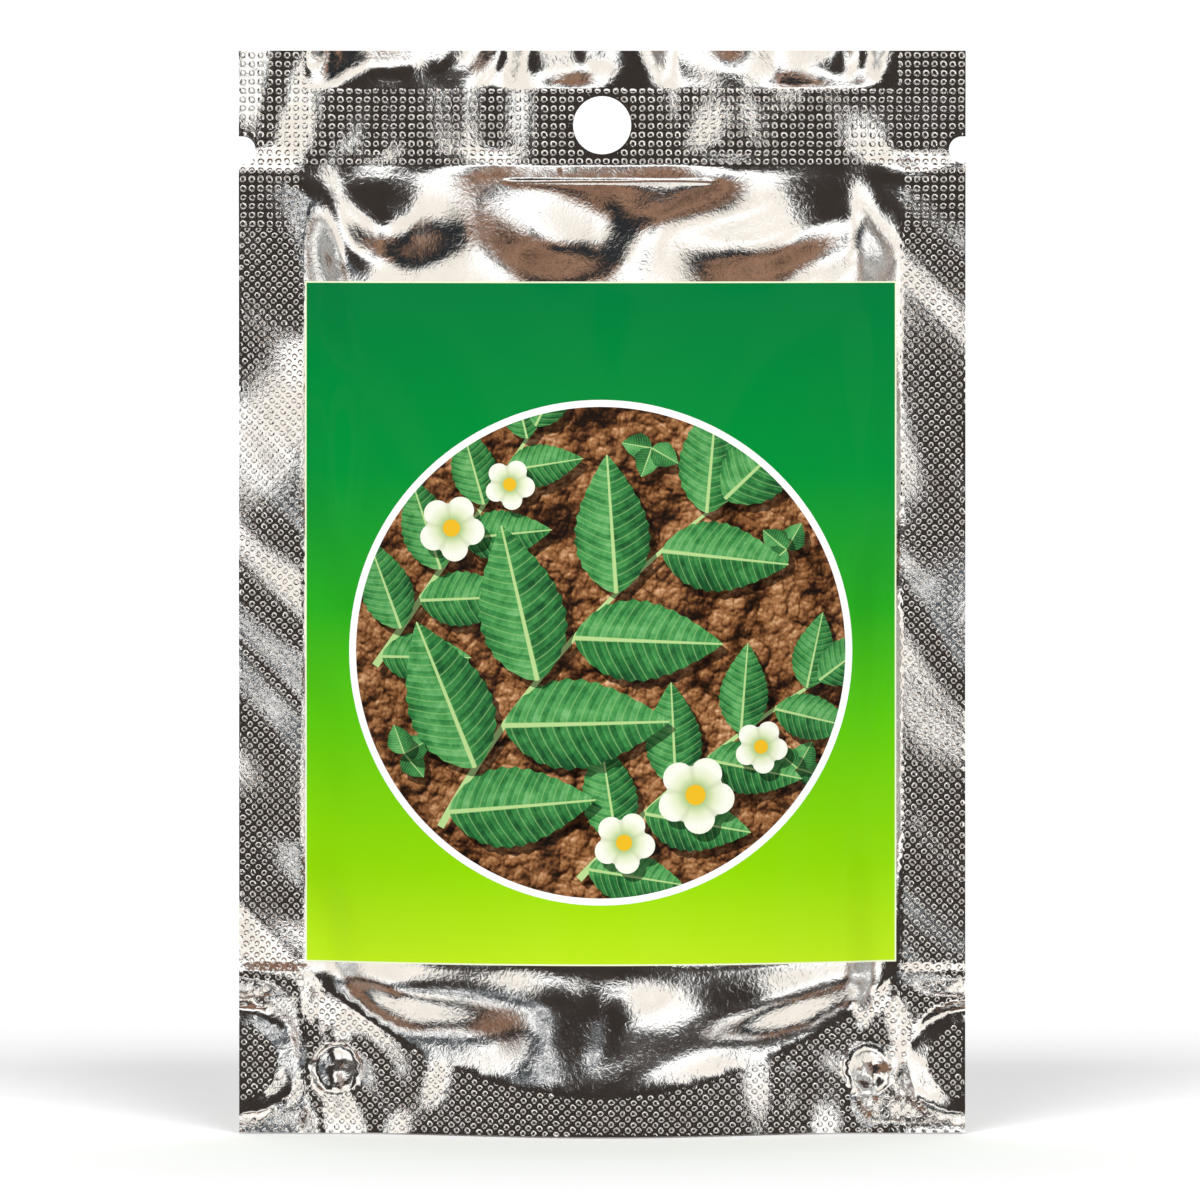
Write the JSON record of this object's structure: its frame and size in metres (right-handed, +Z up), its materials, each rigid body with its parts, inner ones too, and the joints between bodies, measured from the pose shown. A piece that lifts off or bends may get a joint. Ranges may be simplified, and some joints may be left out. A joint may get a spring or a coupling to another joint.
{
  "type": "foil seed packet",
  "caption": "Stand-up foil seed pouch with heat-sealed edges, a folded bottom, a hang hole, tear notches and a printed front label.",
  "frame": {"origin": "middle of the pouch's footprint, on the surface it stands on", "axes": "+Z up, -Y out of the labelled front, +X to the right when the front is looked at"},
  "size_m": [0.1, 0.0298, 0.149],
  "materials": {
    "foil": "bright silver foil laminate, embossed in the seals",
    "label_paper": "glossy printed label, green ground",
    "seed_coat": "dull black seed coat"
  },
  "bodies": {
    "root": {"front_film": "foil", "back_film": "foil", "gusset_film": "foil", "label": "label_paper", "seed_01": "seed_coat", "seed_02": "seed_coat", "seed_03": "seed_coat", "seed_04": "seed_coat", "seed_05": "seed_coat", "seed_06": "seed_coat", "seed_07": "seed_coat", "seed_08": "seed_coat", "seed_09": "seed_coat", "seed_10": "seed_coat", "seed_11": "seed_coat", "seed_12": "seed_coat", "seed_13": "seed_coat", "seed_14": "seed_coat", "seed_15": "seed_coat", "seed_16": "seed_coat", "seed_17": "seed_coat", "seed_18": "seed_coat", "seed_19": "seed_coat", "seed_20": "seed_coat", "seed_21": "seed_coat", "seed_22": "seed_coat", "seed_23": "seed_coat", "seed_24": "seed_coat", "seed_25": "seed_coat", "seed_26": "seed_coat", "seed_27": "seed_coat", "seed_28": "seed_coat", "seed_29": "seed_coat", "seed_30": "seed_coat", "seed_31": "seed_coat", "seed_32": "seed_coat"}
  },
  "joints": []
}
